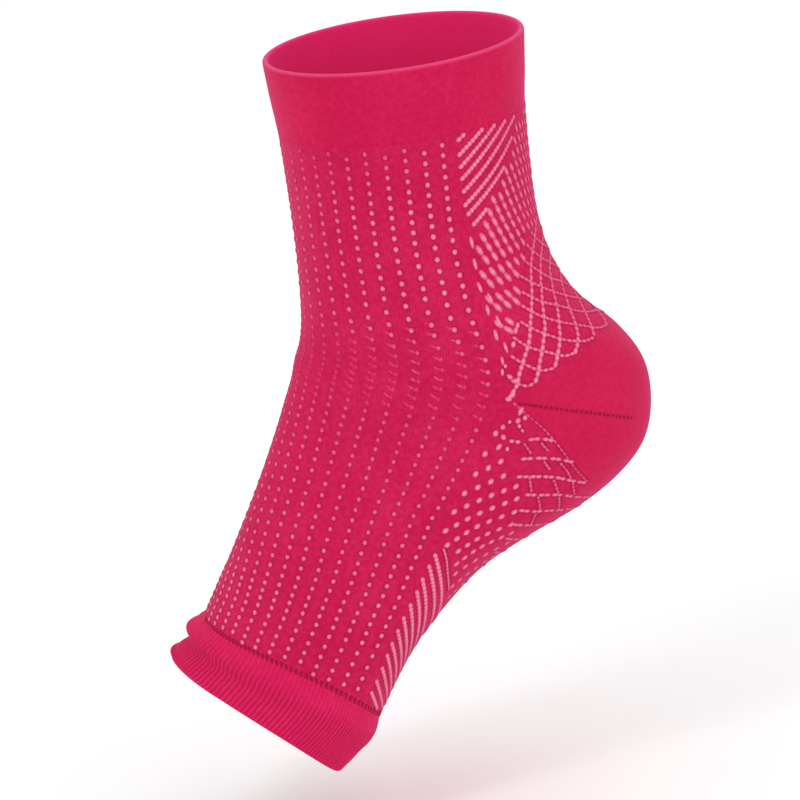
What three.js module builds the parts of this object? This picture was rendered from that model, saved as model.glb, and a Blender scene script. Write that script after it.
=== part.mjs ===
import * as THREE from "three";

// Open-toe compression ankle sock, in millimetres, in the rounded form it has when worn.
// The origin is the centre of the ankle, +Z runs up the leg, the toes point toward -X,
// and y = 0 is the plane of symmetry. Every zone of the knit is a wall cut from one tubular skin.

// Driving sizes
const LEG_LENGTH = 76; // ankle centre to the cuff's lower edge
const LEG_DEPTH = 80; // front to back above the ankle
const LEG_WIDTH = 70; // side to side above the ankle
const CUFF_HEIGHT = 23.5; // lower edge of the cuff to its rim
const FOOT_ANGLE = 32.5; // degrees that the foot points forward of straight down
const FOOT_LENGTH = 115; // ankle centre to the toe band's seam
const INSTEP_HEIGHT = 40; // foot's axis to the top of the foot
const HEEL_REACH = 72; // foot's axis to the sole under the heel
const FOOT_WIDTH = 75; // across the ball of the foot
const TOE_BAND_LENGTH = 20; // toe band's seam to its free rim
const TOE_ROLL = 3.6; // how far the toe band's folded roll stands out on top of the foot
const CUFF_WALL = 2.0; // folded double welt
const PANEL_WALL = 1.2; // dotted front, Achilles and sole zones
const HEEL_WALL = 1.6; // thicker knit of the heel pocket
const TOE_WALL = 1.8; // ribbed double band
const SEAM_GAP = 0.3; // clear gap between neighbouring zones
const RIM_ROUNDING = 0.7; // height of the rounded lip at both open rims

// How finely each zone is faceted
const RING_COLUMNS = 40;
const CUFF_ROWS = 5;
const TOE_ROWS = 8;
const FRONT_COLUMNS = 30;
const FRONT_ROWS = 24;
const BACK_COLUMNS = 16;
const ACHILLES_ROWS = 12;
const POCKET_ROWS = 9;
const SOLE_ROWS = 15;

// A table's rows as objects with named columns
function tableOf(columns, rows) {
  return rows.map((row) => Object.fromEntries(columns.map((name, k) => [name, row[k]])));
}

// Cross-sections from the cuff's rim to the toe band's rim. Each has a front and a back point, half a width
// (half), the angle from the front where the dotted front panel ends (edge), how far the widest place lies
// toward the back (shift, share of half the depth), and how far the sides lie behind both points (lag).

// Cuff: up is a share of CUFF_HEIGHT above its lower edge, out of LEG_DEPTH, half of LEG_WIDTH
const CUFF_SECTIONS = tableOf(
  ["frontUp", "frontOut", "backUp", "backOut", "half", "edge"],
  [
    [0.97, 0.504, 1.0, 0.542, 0.55, 114],
    [0.49, 0.494, 0.49, 0.524, 0.531, 114],
  ],
);
// Leg: up is a share of LEG_LENGTH above the ankle, out of LEG_DEPTH, half of LEG_WIDTH
const LEG_SECTIONS = tableOf(
  ["frontUp", "frontOut", "backUp", "backOut", "half", "edge"],
  [
    [1.0, 0.481, 0.985, 0.505, 0.514, 114],
    [0.822, 0.476, 0.763, 0.495, 0.5, 115],
    [0.632, 0.475, 0.539, 0.495, 0.491, 116],
    [0.421, 0.479, 0.316, 0.529, 0.491, 116.5],
    [0.25, 0.489, 0.124, 0.616, 0.497, 111],
  ],
);
// Heel: along is a share of FOOT_LENGTH, frontOut of INSTEP_HEIGHT, backOut of HEEL_REACH, half of LEG_WIDTH,
// and lag of FOOT_WIDTH
const HEEL_SECTIONS = tableOf(
  ["frontAlong", "frontOut", "backAlong", "backOut", "half", "shift", "lag", "edge"],
  [
    [0.103, 1.0, -0.265, 0.729, 0.5, 0, 0, 103.5],
    [0.15, 0.956, -0.207, 0.898, 0.497, 0, 0, 100.5],
    [0.194, 0.935, -0.111, 1.005, 0.491, 0, 0.008, 99.5],
    [0.249, 0.894, -0.002, 1.051, 0.48, 0.02, 0.019, 98.5],
    [0.314, 0.866, 0.113, 1.015, 0.469, 0.05, 0.032, 97.5],
  ],
);
// Foot: as the heel, with half of FOOT_WIDTH
const FOOT_SECTIONS = tableOf(
  ["frontAlong", "frontOut", "backAlong", "backOut", "half", "shift", "lag", "edge"],
  [
    [0.398, 0.83, 0.235, 0.92, 0.435, 0.1, 0.045, 98.5],
    [0.519, 0.789, 0.372, 0.774, 0.44, 0.16, 0.059, 103],
    [0.642, 0.757, 0.504, 0.648, 0.453, 0.22, 0.072, 111],
    [0.765, 0.734, 0.653, 0.566, 0.472, 0.28, 0.083, 122],
    [0.868, 0.723, 0.816, 0.511, 0.491, 0.3, 0.092, 132],
    [0.97, 0.713, 1.0, 0.501, 0.501, 0.3, 0.097, 139],
  ],
);
// Toe band: down is a share of TOE_BAND_LENGTH past the seam, the rest as the foot
const BAND_SECTIONS = tableOf(
  ["frontDown", "frontOut", "backDown", "backOut", "half", "shift", "lag", "edge"],
  [
    [0.242, 0.712, 0.358, 0.511, 0.501, 0.3, 0.08, 139],
    [0.49, 0.716, 0.754, 0.499, 0.499, 0.3, 0.056, 139],
    [0.748, 0.723, 1.19, 0.461, 0.493, 0.28, 0.027, 139],
  ],
);
// Profile of the toe band on top of the foot: down its length, and stand-off as a share of TOE_ROLL
const TOE_PROFILE = tableOf(
  ["down", "off"],
  [
    [0, 0],
    [0.2, 1],
    [0.42, 0.72],
    [0.62, 0.17],
    [0.8, 0.6],
    [1, 0.78],
  ],
);
const SIDE_ROLL = 0.15; // share of the roll's stand-off that is left at the sides and the sole

// The heel pocket, in sections: its tips at the sides, and its edges at the back of the heel
const TIP_SECTION = 8.6;
const TIP_HALF_HEIGHT = 0.15;
const POCKET_TOP = 6.7;
const POCKET_BOTTOM = 11.75;
const POCKET_ROUNDNESS = 2.2;

// Point of the plane of symmetry that lies so far up the leg and out from its axis
function legPoint(up, out) {
  return { x: out, z: up };
}

// Point of the plane of symmetry that lies so far along the foot's axis and out from it toward the sole
function footPoint(along, out) {
  const tilt = THREE.MathUtils.degToRad(FOOT_ANGLE);
  return {
    x: out * Math.cos(tilt) - along * Math.sin(tilt),
    z: -out * Math.sin(tilt) - along * Math.cos(tilt),
  };
}

function section(front, back, half, row) {
  return {
    frontX: front.x,
    frontZ: front.z,
    backX: back.x,
    backZ: back.z,
    half,
    shift: row.shift ?? 0,
    lag: (row.lag ?? 0) * FOOT_WIDTH,
    edge: row.edge,
  };
}

function legSection(row, frontUp, backUp) {
  const front = legPoint(frontUp, -row.frontOut * LEG_DEPTH);
  const back = legPoint(backUp, row.backOut * LEG_DEPTH);
  return section(front, back, row.half * LEG_WIDTH, row);
}

function footSection(row, frontAlong, backAlong, width) {
  const front = footPoint(frontAlong, -row.frontOut * INSTEP_HEIGHT);
  const back = footPoint(backAlong, row.backOut * HEEL_REACH);
  return section(front, back, row.half * width, row);
}

const cuffEnd = LEG_SECTIONS[0];
const seamEnd = FOOT_SECTIONS[FOOT_SECTIONS.length - 1];
const SECTIONS = [
  ...CUFF_SECTIONS.map((row) =>
    legSection(
      row,
      cuffEnd.frontUp * LEG_LENGTH + row.frontUp * CUFF_HEIGHT,
      cuffEnd.backUp * LEG_LENGTH + row.backUp * CUFF_HEIGHT,
    ),
  ),
  ...LEG_SECTIONS.map((row) => legSection(row, row.frontUp * LEG_LENGTH, row.backUp * LEG_LENGTH)),
  ...HEEL_SECTIONS.map((row) =>
    footSection(row, row.frontAlong * FOOT_LENGTH, row.backAlong * FOOT_LENGTH, LEG_WIDTH),
  ),
  ...FOOT_SECTIONS.map((row) =>
    footSection(row, row.frontAlong * FOOT_LENGTH, row.backAlong * FOOT_LENGTH, FOOT_WIDTH),
  ),
  ...BAND_SECTIONS.map((row) =>
    footSection(
      row,
      seamEnd.frontAlong * FOOT_LENGTH + row.frontDown * TOE_BAND_LENGTH,
      seamEnd.backAlong * FOOT_LENGTH + row.backDown * TOE_BAND_LENGTH,
      FOOT_WIDTH,
    ),
  ),
];
const RIM = 0;
const CUFF_SEAM = CUFF_SECTIONS.length;
const TOE_SEAM = CUFF_SEAM + LEG_SECTIONS.length + HEEL_SECTIONS.length + FOOT_SECTIONS.length - 1;
const TOE_RIM = SECTIONS.length - 1;

// Smooth value of one column of the sections at a place between them, carried on straight past the ends
function smooth(column, place) {
  const last = SECTIONS.length - 1;
  const first = Math.max(0, Math.min(Math.floor(place), last - 1));
  const f = place - first;
  const value = (k) => {
    if (k < 0) return 2 * SECTIONS[0][column] - SECTIONS[1][column];
    if (k > last) return 2 * SECTIONS[last][column] - SECTIONS[last - 1][column];
    return SECTIONS[k][column];
  };
  const [a, b, c, d] = [-1, 0, 1, 2].map((step) => value(first + step));
  return b + 0.5 * f * (c - a + f * (2 * a - 5 * b + 4 * c - d + f * (3 * (b - c) + d - a)));
}

// Stand-off of the toe band's roll at a place along the skin and an angle round it
function rollHeight(place, angle) {
  const down = (place - TOE_SEAM) / (TOE_RIM - TOE_SEAM);
  if (down <= 0) return 0;
  const after = TOE_PROFILE.findIndex((row) => row.down >= Math.min(down, 1));
  const [low, high] = [TOE_PROFILE[Math.max(after - 1, 0)], TOE_PROFILE[after]];
  const share = high === low ? 0 : (Math.min(down, 1) - low.down) / (high.down - low.down);
  const facing = Math.max(Math.cos(angle), 0) ** 3;
  return TOE_ROLL * (low.off + share * (high.off - low.off)) * (SIDE_ROLL + (1 - SIDE_ROLL) * facing);
}

// Point of the sock's outer skin: place counts sections from the cuff's rim, and angle runs in radians from
// the front (0) round to the back or sole (pi)
function skin(place, angle) {
  const s = {};
  for (const column of ["frontX", "frontZ", "backX", "backZ", "half", "shift", "lag"]) {
    s[column] = smooth(column, place);
  }
  const halfX = (s.backX - s.frontX) / 2;
  const halfZ = (s.backZ - s.frontZ) / 2;
  const depth = Math.hypot(halfX, halfZ);
  const side = Math.sin(angle) ** 2;
  const reach = -Math.cos(angle) + s.shift * side - (Math.cos(angle) * rollHeight(place, angle)) / depth;
  return new THREE.Vector3(
    (s.frontX + s.backX) / 2 + halfX * reach - (halfZ / depth) * s.lag * side,
    s.half * Math.sin(angle) * (1 + rollHeight(place, angle) / s.half),
    (s.frontZ + s.backZ) / 2 + halfZ * reach + (halfX / depth) * s.lag * side,
  );
}

// How a surface point moves as each of its two coordinates grows
function slopes(point, u, v) {
  const step = 1e-4;
  return {
    byU: point(u + step, v).sub(point(u - step, v)).divideScalar(2 * step),
    byV: point(u, v + step).sub(point(u, v - step)).divideScalar(2 * step),
  };
}

// Share of a zone that leaves half the seam's gap at its edge: the edge runs along, the share is across
function inset(across, along) {
  return ((SEAM_GAP / 2) * along.length()) / across.clone().cross(along).length();
}

// One zone of the knit as a closed wall. where(u, v) gives its place and angle for shares u across and v down,
// shares lists its steps down, seams names the edges that face a neighbour, and lip the edge that is a rim.
function zoneWall({ where, columns, shares, wall, ring = false, seams = [], lip = null }) {
  const point = (u, v) => skin(...where(u, v));
  const inward = (u, v, depth) => {
    const [place, angle] = where(u, v);
    const { byU: byPlace, byV: byAngle } = slopes(skin, place, angle);
    return skin(place, angle).addScaledVector(byAngle.cross(byPlace).normalize(), -depth);
  };
  const gapV = (u, v) => {
    const { byU, byV } = slopes(point, u, v);
    return inset(byV, byU);
  };
  const gapU = (u, v) => {
    const { byU, byV } = slopes(point, u, v);
    return inset(byU, byV);
  };
  const outer = [];
  const inner = [];
  for (const v of shares) {
    const pinch = (lip === "top" && v === 0) || (lip === "bottom" && v === 1) ? wall * 0.28 : 0;
    for (let j = 0; j < (ring ? columns : columns + 1); j += 1) {
      const u = j / columns;
      const top = seams.includes("top") ? gapV(u, 0) : 0;
      const bottom = seams.includes("bottom") ? gapV(u, 1) : 0;
      const down = top + v * (1 - top - bottom);
      const sides = seams.includes("sides") ? [gapU(0, down), gapU(1, down)] : [0, 0];
      const across = sides[0] + u * (1 - sides[0] - sides[1]);
      outer.push(inward(across, down, pinch));
      inner.push(inward(across, down, wall - pinch));
    }
  }
  return closedWall(outer, inner, shares.length, columns, ring);
}

// Closes two matching grids of points, an outer and an inner one, into one solid
function closedWall(outer, inner, rows, columns, ring) {
  const width = ring ? columns : columns + 1;
  const out = (i, j) => i * width + (j % width);
  const inn = (i, j) => outer.length + out(i, j);
  const index = [];
  const quad = (a, b, c, d) => index.push(a, b, c, a, c, d);
  for (let i = 0; i < rows - 1; i += 1) {
    for (let j = 0; j < columns; j += 1) {
      quad(out(i, j), out(i, j + 1), out(i + 1, j + 1), out(i + 1, j));
      quad(inn(i, j), inn(i + 1, j), inn(i + 1, j + 1), inn(i, j + 1));
    }
  }
  const end = rows - 1;
  for (let j = 0; j < columns; j += 1) {
    quad(out(0, j), inn(0, j), inn(0, j + 1), out(0, j + 1));
    quad(out(end, j), out(end, j + 1), inn(end, j + 1), inn(end, j));
  }
  for (let i = 0; i < end && !ring; i += 1) {
    quad(out(i, 0), out(i + 1, 0), inn(i + 1, 0), inn(i, 0));
    quad(out(i, columns), inn(i, columns), inn(i + 1, columns), out(i + 1, columns));
  }
  const geometry = new THREE.BufferGeometry();
  geometry.setFromPoints([...outer, ...inner]);
  geometry.setIndex(index);
  geometry.computeVertexNormals();
  return geometry;
}

// Even shares from 0 to 1, with one more close to a rim for its rounded lip
function evenShares(count, lip = null, length = 1) {
  const shares = Array.from({ length: count + 1 }, (_, i) => i / count);
  if (lip === "top") shares.splice(1, 0, RIM_ROUNDING / length);
  if (lip === "bottom") shares.splice(count, 0, 1 - RIM_ROUNDING / length);
  return shares;
}

// Angle from the front, in radians, where the dotted front panel ends
function panelEdge(place) {
  return THREE.MathUtils.degToRad(smooth("edge", place));
}

// Angle at a share across the back of the skin, from one edge of the front panel round to the other
function backAngle(place, u) {
  return panelEdge(place) + u * 2 * (Math.PI - panelEdge(place));
}

// Edges of the heel pocket: from the tips at the sides, in a round curve to the back of the heel
function pocketRise(u) {
  return 1 - Math.abs(2 * u - 1) ** POCKET_ROUNDNESS;
}
function pocketTop(u) {
  const tip = TIP_SECTION - TIP_HALF_HEIGHT;
  return tip + (POCKET_TOP - tip) * pocketRise(u);
}
function pocketBottom(u) {
  const tip = TIP_SECTION + TIP_HALF_HEIGHT;
  return tip + (POCKET_BOTTOM - tip) * pocketRise(u);
}

// Place and angle in a ring between two places, and in a back zone between two edges
function ringWhere(from, to) {
  return (u, v) => [from + v * (to - from), u * 2 * Math.PI];
}
function frontWhere(u, v) {
  const place = CUFF_SEAM + v * (TOE_SEAM - CUFF_SEAM);
  return [place, (2 * u - 1) * panelEdge(place)];
}
function backWhere(from, to) {
  return (u, v) => {
    const place = from(u) + v * (to(u) - from(u));
    return [place, backAngle(place, u)];
  };
}

function knit(name, color, roughness, geometry) {
  const material = new THREE.MeshStandardMaterial({ color, roughness, metalness: 0 });
  const mesh = new THREE.Mesh(geometry, material);
  mesh.name = name;
  return mesh;
}

function topCuff() {
  const geometry = zoneWall({
    where: ringWhere(RIM, CUFF_SEAM),
    columns: RING_COLUMNS,
    shares: evenShares(CUFF_ROWS, "top", CUFF_HEIGHT),
    wall: CUFF_WALL,
    ring: true,
    seams: ["bottom"],
    lip: "top",
  });
  return knit("top_cuff", 0xc41c4c, 0.9, geometry);
}

function legInstepPanel() {
  const geometry = zoneWall({
    where: frontWhere,
    columns: FRONT_COLUMNS,
    shares: evenShares(FRONT_ROWS),
    wall: PANEL_WALL,
    seams: ["top", "bottom", "sides"],
  });
  return knit("leg_instep_panel", 0xcb1e52, 0.88, geometry);
}

function achillesPanel() {
  const geometry = zoneWall({
    where: backWhere(() => CUFF_SEAM, pocketTop),
    columns: BACK_COLUMNS,
    shares: evenShares(ACHILLES_ROWS),
    wall: PANEL_WALL,
    seams: ["top", "bottom", "sides"],
  });
  return knit("achilles_panel", 0xd43a68, 0.88, geometry);
}

function heelPocket() {
  const geometry = zoneWall({
    where: backWhere(pocketTop, pocketBottom),
    columns: BACK_COLUMNS,
    shares: evenShares(POCKET_ROWS),
    wall: HEEL_WALL,
    seams: ["top", "bottom", "sides"],
  });
  return knit("heel_pocket", 0xcd2457, 0.92, geometry);
}

function solePanel() {
  const geometry = zoneWall({
    where: backWhere(pocketBottom, () => TOE_SEAM),
    columns: BACK_COLUMNS,
    shares: evenShares(SOLE_ROWS),
    wall: PANEL_WALL,
    seams: ["top", "bottom", "sides"],
  });
  return knit("sole_panel", 0xd2325f, 0.88, geometry);
}

function toeBand() {
  const geometry = zoneWall({
    where: ringWhere(TOE_SEAM, TOE_RIM),
    columns: RING_COLUMNS,
    shares: evenShares(TOE_ROWS, "bottom", TOE_BAND_LENGTH),
    wall: TOE_WALL,
    ring: true,
    seams: ["top"],
    lip: "bottom",
  });
  return knit("toe_band", 0xce2055, 0.9, geometry);
}

const sock = new THREE.Group();
sock.add(topCuff(), legInstepPanel(), achillesPanel(), heelPocket(), solePanel(), toeBand());

export default sock;
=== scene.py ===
import math

import bpy
import numpy as np
from mathutils import Matrix, Vector


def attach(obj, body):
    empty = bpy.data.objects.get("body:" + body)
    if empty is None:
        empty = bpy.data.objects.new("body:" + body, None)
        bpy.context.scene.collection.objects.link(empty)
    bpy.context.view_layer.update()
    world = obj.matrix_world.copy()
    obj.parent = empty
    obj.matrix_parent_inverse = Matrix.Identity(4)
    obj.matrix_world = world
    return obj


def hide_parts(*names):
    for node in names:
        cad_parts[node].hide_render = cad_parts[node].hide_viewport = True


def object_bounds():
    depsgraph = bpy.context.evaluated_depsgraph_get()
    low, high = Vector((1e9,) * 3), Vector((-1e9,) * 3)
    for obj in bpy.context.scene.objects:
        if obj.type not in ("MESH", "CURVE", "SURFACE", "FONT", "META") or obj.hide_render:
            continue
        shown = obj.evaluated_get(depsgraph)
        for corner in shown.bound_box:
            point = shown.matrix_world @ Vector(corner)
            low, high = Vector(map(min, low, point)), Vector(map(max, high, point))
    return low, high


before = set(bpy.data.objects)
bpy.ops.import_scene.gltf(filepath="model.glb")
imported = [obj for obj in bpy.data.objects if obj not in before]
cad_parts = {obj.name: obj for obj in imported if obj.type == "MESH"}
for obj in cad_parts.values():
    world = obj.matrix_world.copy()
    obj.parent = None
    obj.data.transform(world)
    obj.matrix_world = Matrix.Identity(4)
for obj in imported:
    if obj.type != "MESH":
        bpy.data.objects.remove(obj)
cad_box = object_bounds()

MM = 0.001

# Driving sizes of the skin, as in the model's source
LEG_LENGTH = 76 * MM
LEG_DEPTH = 80 * MM
LEG_WIDTH = 70 * MM
CUFF_HEIGHT = 23.5 * MM
FOOT_ANGLE = math.radians(32.5)
FOOT_LENGTH = 115 * MM
INSTEP_HEIGHT = 40 * MM
HEEL_REACH = 72 * MM
FOOT_WIDTH = 75 * MM
TOE_BAND_LENGTH = 20 * MM
TOE_ROLL = 3.6 * MM
SIDE_ROLL = 0.15
CUFF_WALL = 2.0 * MM
PANEL_WALL = 1.2 * MM
HEEL_WALL = 1.6 * MM
TOE_WALL = 1.8 * MM

# Cross-sections from the cuff's rim to the toe band's rim, as shares of the driving sizes, and the angle from
# the front, in degrees, where the dotted front panel ends
LEG_COLUMNS = ("front_up", "front_out", "back_up", "back_out", "half", "edge")
CUFF_SECTIONS = [
    (1.03, 0.504, 1.065, 0.542, 0.55, 114),
    (0.51, 0.494, 0.51, 0.524, 0.531, 114),
]
LEG_SECTIONS = [
    (1.0, 0.481, 0.985, 0.505, 0.514, 114),
    (0.822, 0.476, 0.763, 0.495, 0.5, 115),
    (0.632, 0.475, 0.539, 0.495, 0.491, 116),
    (0.421, 0.479, 0.316, 0.529, 0.491, 116.5),
    (0.25, 0.489, 0.124, 0.616, 0.497, 111),
]
FOOT_COLUMNS = ("front_along", "front_out", "back_along", "back_out", "half", "shift", "lag", "edge")
HEEL_SECTIONS = [
    (0.103, 1.0, -0.265, 0.729, 0.5, 0, 0, 103.5),
    (0.15, 0.956, -0.207, 0.898, 0.497, 0, 0, 100.5),
    (0.194, 0.935, -0.111, 1.005, 0.491, 0, 0.008, 99.5),
    (0.249, 0.894, -0.002, 1.051, 0.48, 0.02, 0.019, 98.5),
    (0.314, 0.866, 0.113, 1.015, 0.469, 0.05, 0.032, 97.5),
]
FOOT_SECTIONS = [
    (0.398, 0.83, 0.235, 0.92, 0.435, 0.1, 0.045, 98.5),
    (0.519, 0.789, 0.372, 0.768, 0.44, 0.16, 0.059, 103),
    (0.642, 0.757, 0.504, 0.640, 0.453, 0.22, 0.072, 111),
    (0.765, 0.734, 0.653, 0.559, 0.472, 0.28, 0.083, 122),
    (0.868, 0.723, 0.816, 0.507, 0.491, 0.3, 0.092, 132),
    (0.97, 0.713, 1.0, 0.501, 0.501, 0.3, 0.097, 139),
]
BAND_SECTIONS = [
    (0.242, 0.712, 0.358, 0.511, 0.501, 0.3, 0.08, 139),
    (0.5, 0.716, 0.745, 0.487, 0.499, 0.3, 0.07, 139),
    (0.85, 0.723, 1.18, 0.441, 0.493, 0.28, 0.067, 139),
]
TOE_PROFILE_DOWN = (0, 0.2, 0.47, 0.66, 0.92, 1)
TOE_PROFILE_OFF = (0, 0.45, 1.05, 0.25, 0.9, 1.4)

# The heel pocket's tips at the sides and its edges at the back of the heel, in sections
TIP_SECTION = 8.6
TIP_HALF_HEIGHT = 0.15
POCKET_TOP = 6.7
POCKET_BOTTOM = 11.75
POCKET_ROUNDNESS = 2.2

RIM = 0
CUFF_SEAM = len(CUFF_SECTIONS)
TOE_SEAM = CUFF_SEAM + len(LEG_SECTIONS) + len(HEEL_SECTIONS) + len(FOOT_SECTIONS) - 1
TOE_RIM = TOE_SEAM + len(BAND_SECTIONS)

# The knit's own sizes; leans are in degrees from straight down the sock
DOT_LENGTH = 2.1 * MM
DOT_WIDTH = 1.95 * MM
DOT_HEIGHT = 0.5 * MM
FLECK_LENGTH = 2.9 * MM
FLECK_WIDTH = 1.0 * MM
FLECK_HEIGHT = 0.3 * MM
FLECK_LEAN = 58
FLECK_TONE = 0.17
# How far a fleck lies from its dot, in places upward and in degrees toward the front
FLECK_RISE = 0.05
FLECK_TURN = 1.5
STITCH_LENGTH = 3.9 * MM
STITCH_WIDTH = 1.85 * MM
STITCH_HEIGHT = 0.5 * MM
STITCH_LEAN = 24
OVAL_LENGTH = 2.5 * MM
OVAL_WIDTH = 1.95 * MM
BEAD_HEIGHT = 0.55 * MM
OVAL_LEAN = -6
ARC_DASH_PITCH = 4.6 * MM
ARC_HALF_GAP = 0.9 * MM
ARC_BEAD = (2.4 * MM, 1.5 * MM, 0.5 * MM)
CUFF_STITCHES = 96
CUFF_STITCH_DEPTH = 0.12 * MM
TOE_RIBS = 152
TOE_RIB_DEPTH = 0.3 * MM
WALE = 0.9 * MM
COURSE = 0.62 * MM

# Rows of beads by what they draw: the pitch along the row and each bead's length, width and height, in mm,
# then how pale the beads are at the sides and round the back, from 0 to 1
CORDS = {
    "stripe": (1.5, 2.2, 1.9, 0.6, 1.0, 0.5),
    "net rising": (2.1, 2.5, 1.75, 0.55, 0.95, 0.5),
    "net falling": (1.9, 2.2, 1.3, 0.4, 0.72, 0.45),
    "apex chain": (2.1, 2.2, 1.7, 0.6, 1.0, 1.0),
    "arch link": (1.5, 1.9, 1.1, 0.3, 0.4, 0.4),
    "pocket piping": (1.9, 2.0, 0.9, 0.3, 0.3, 0.2),
    "forefoot cord": (1.5, 2.2, 1.75, 0.6, 1.0, 0.45),
    "forefoot thread": (1.5, 2.1, 1.0, 0.4, 0.75, 0.3),
    "gore": (1.75, 1.05, 0.8, 0.3, 0.3, 1.0),
    "toe seam": (1.8, 1.35, 1.25, 0.3, 0.2, 0.2),
    "toe seam echo": (1.8, 1.35, 0.85, 0.3, 0.6, 0.6),
}

# The pits that the yarn sinks into: radius and depth
DOT_PIT = (1.9 * MM, 0.25 * MM)
YARN_PIT = (1.5 * MM, 0.22 * MM)
GORE_PIT = (1.0 * MM, 0.3 * MM)

# Colours: each knit's base, its deep and its light shade, and each yarn's dull and bright shade. Besides the
# knit's random mottle, the deep and light shades paint shade between the loops and highlight on their crests;
# a yarn's bright shade is strongest on its beads' crests, as a painted highlight
CUFF_SHADES = ((0.60, 0.009, 0.076), (0.53, 0.005, 0.062), (0.66, 0.016, 0.096))
PANEL_SHADES = ((0.58, 0.010, 0.080), (0.50, 0.005, 0.060), (0.67, 0.021, 0.112))
HEEL_SHADES = ((0.58, 0.011, 0.074), (0.53, 0.007, 0.064), (0.63, 0.016, 0.088))
TOE_SHADES = ((0.68, 0.014, 0.102), (0.61, 0.009, 0.086), (0.75, 0.021, 0.124))
LIGHT_YARN_SHADES = ((0.60, 0.012, 0.09), (0.87, 0.30, 0.48))
# Dark beads that paint the shade in the small holes of the heel gore and the toe seam
HOLE_SHADE_COLOURS = ((0.32, 0.003, 0.028), (0.53, 0.007, 0.06))
# Painted highlight along the cuff's rounded lip
RIM_HIGHLIGHT_COLOUR = (0.80, 0.14, 0.32)
# Painted light on the inner faces: the same knit, coloured lighter so that the inside looks lit
LIT_INSIDE_COLOUR = (0.76, 0.02, 0.145)
SHEEN_TINT = (1.0, 0.22, 0.5)
SHEEN_ROUGHNESS = 0.35
SPECULAR = 0.08
KNIT_ROUGHNESS = 0.82
KNIT_SHEEN = 0.4
YARN_ROUGHNESS = 0.75
YARN_SHEEN = 0.3
FINE_MOTTLE_SCALE = 620
FINE_MOTTLE_SHARE = 0.6
BROAD_MOTTLE_SCALE = 45
MOTTLE_FLOOR = 0.36
MOTTLE_CONTRAST = 2.25
LOOP_FLOOR = 0.35
# Painted shade between the knit's loops and painted highlight on their crests: the stitch height where
# neither shows, and how strongly they show
STITCH_MIDDLE = 0.6
STITCH_SHADING_CONTRAST = 0.6
# Painted shade in the pits and grooves: how much of it shows, and how dark it is against the deep shade
PIT_SHADE_SHARE = 0.9
PIT_SHADE_DARKNESS = 0.6
YARN_MOTTLE_SCALE = 900
YARN_CONTRAST = 0.5
BUMP_DISTANCE = 0.3 * MM
FLOOR_COLOUR = (0.955, 0.972, 0.97)

# Fineness of the meshes
PANEL_COLUMNS = 232
BACK_COLUMNS = 168
POCKET_ROWS = 104
CUFF_COLUMNS = 480
CUFF_ROWS = 36
TOE_ROWS = 40
POINTS_PER_RIB = 6
LIP_STEPS = 8


# The skin

def rows_of(columns, table):
    return [dict(zip(columns, row)) for row in table]


def foot_point(along, out):
    x = out * math.cos(FOOT_ANGLE) - along * math.sin(FOOT_ANGLE)
    z = -out * math.sin(FOOT_ANGLE) - along * math.cos(FOOT_ANGLE)
    return x, z


def leg_section(row, front_up, back_up):
    front_x = -row["front_out"] * LEG_DEPTH
    back_x = row["back_out"] * LEG_DEPTH
    return (front_x, front_up, back_x, back_up, row["half"] * LEG_WIDTH, 0, 0, row["edge"])


def foot_section(row, front_along, back_along, width):
    front = foot_point(front_along, -row["front_out"] * INSTEP_HEIGHT)
    back = foot_point(back_along, row["back_out"] * HEEL_REACH)
    return (*front, *back, row["half"] * width, row["shift"], row["lag"] * FOOT_WIDTH, row["edge"])


def all_sections():
    """Rows of front x and z, back x and z, half width, sideways shift, lag, and the front panel's edge."""
    leg = rows_of(LEG_COLUMNS, LEG_SECTIONS)
    foot = rows_of(FOOT_COLUMNS, FOOT_SECTIONS)
    front_top, back_top = (leg[0][key] * LEG_LENGTH for key in ("front_up", "back_up"))
    front_seam, back_seam = (foot[-1][key] * FOOT_LENGTH for key in ("front_along", "back_along"))
    made = []
    for row in rows_of(LEG_COLUMNS, CUFF_SECTIONS):
        ends = (front_top + row["front_up"] * CUFF_HEIGHT, back_top + row["back_up"] * CUFF_HEIGHT)
        made.append(leg_section(row, *ends))
    for row in leg:
        made.append(leg_section(row, row["front_up"] * LEG_LENGTH, row["back_up"] * LEG_LENGTH))
    for rows, width in ((rows_of(FOOT_COLUMNS, HEEL_SECTIONS), LEG_WIDTH), (foot, FOOT_WIDTH)):
        for row in rows:
            ends = (row["front_along"] * FOOT_LENGTH, row["back_along"] * FOOT_LENGTH)
            made.append(foot_section(row, *ends, width))
    for row in rows_of(FOOT_COLUMNS, BAND_SECTIONS):
        front_along = front_seam + row["front_along"] * TOE_BAND_LENGTH
        back_along = back_seam + row["back_along"] * TOE_BAND_LENGTH
        made.append(foot_section(row, front_along, back_along, FOOT_WIDTH))
    return np.array(made)


SECTIONS = all_sections()
EDGE_COLUMN = 7


def smooth(place):
    """Every column of the sections at places between them, carried on straight past both ends."""
    last = len(SECTIONS) - 1
    before = 2 * SECTIONS[:1] - SECTIONS[1:2]
    after = 2 * SECTIONS[-1:] - SECTIONS[-2:-1]
    padded = np.concatenate([before, SECTIONS, after])
    first = np.clip(np.floor(place), 0, last - 1).astype(int)
    f = (place - first)[..., None]
    a, b, c, d = (padded[first + step] for step in range(4))
    return b + 0.5 * f * (c - a + f * (2 * a - 5 * b + 4 * c - d + f * (3 * (b - c) + d - a)))


def edge_of(place):
    """Angle from the front, in radians, where the dotted front panel ends."""
    return np.radians(smooth(np.asarray(place, float))[..., EDGE_COLUMN])


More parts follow.
